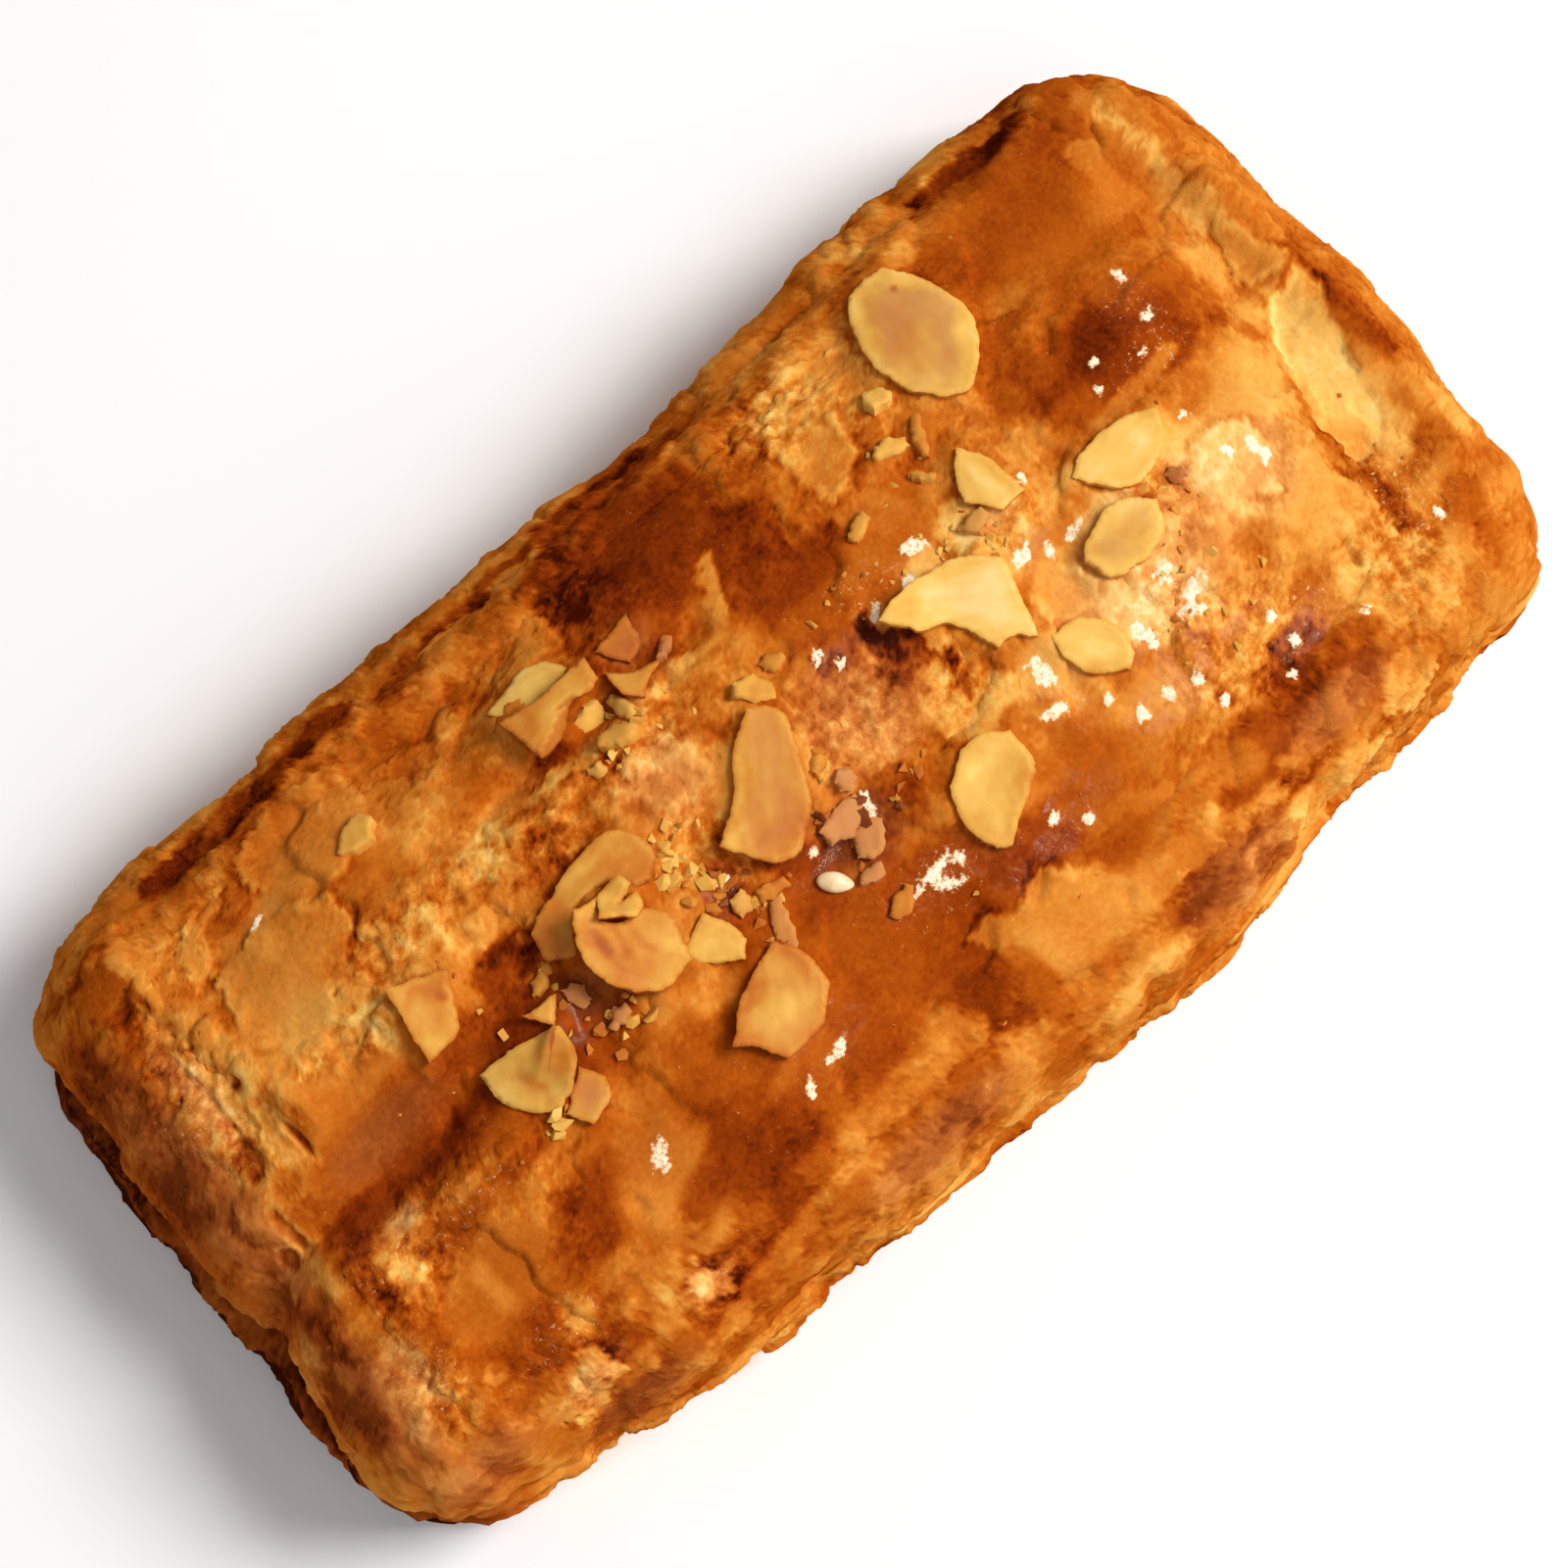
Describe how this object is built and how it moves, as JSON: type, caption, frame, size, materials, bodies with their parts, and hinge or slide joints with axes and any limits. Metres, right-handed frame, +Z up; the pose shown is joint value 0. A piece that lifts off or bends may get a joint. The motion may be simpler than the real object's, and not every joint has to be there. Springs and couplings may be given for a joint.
{
  "type": "apple puff pastry",
  "caption": "Rectangular baked puff pastry pillow with a glazed, browned and flaky top, an open fold at one end and flaked almonds scattered over it.",
  "frame": {"origin": "middle of the base, on the surface the pastry rests on", "axes": "+X along the pastry's length, away from the end with the open fold; +Z up; the -Y side is the one that bows out"},
  "size_m": [0.134, 0.07, 0.0351],
  "materials": {
    "glazed_crust": "egg-washed and syrup-glazed baked dough, golden to dark brown",
    "almond": "thin toasted almond slices, cream to orange-brown"
  },
  "bodies": {
    "root": {"almond_back": "almond", "almond_brown": "almond", "almond_cream": "almond", "almond_crescent": "almond", "almond_curl_band": "almond", "almond_curl_cup": "almond", "almond_front": "almond", "almond_golden": "almond", "almond_grey": "almond", "almond_kite": "almond", "almond_leaf": "almond", "almond_on_curls": "almond", "almond_oval": "almond", "almond_round": "almond", "almond_saddle": "almond", "almond_shard": "almond", "almond_square": "almond", "almond_star": "almond", "almond_stub": "almond", "almond_tan": "almond", "almond_wedge": "almond", "pastry": "glazed_crust"}
  },
  "joints": []
}
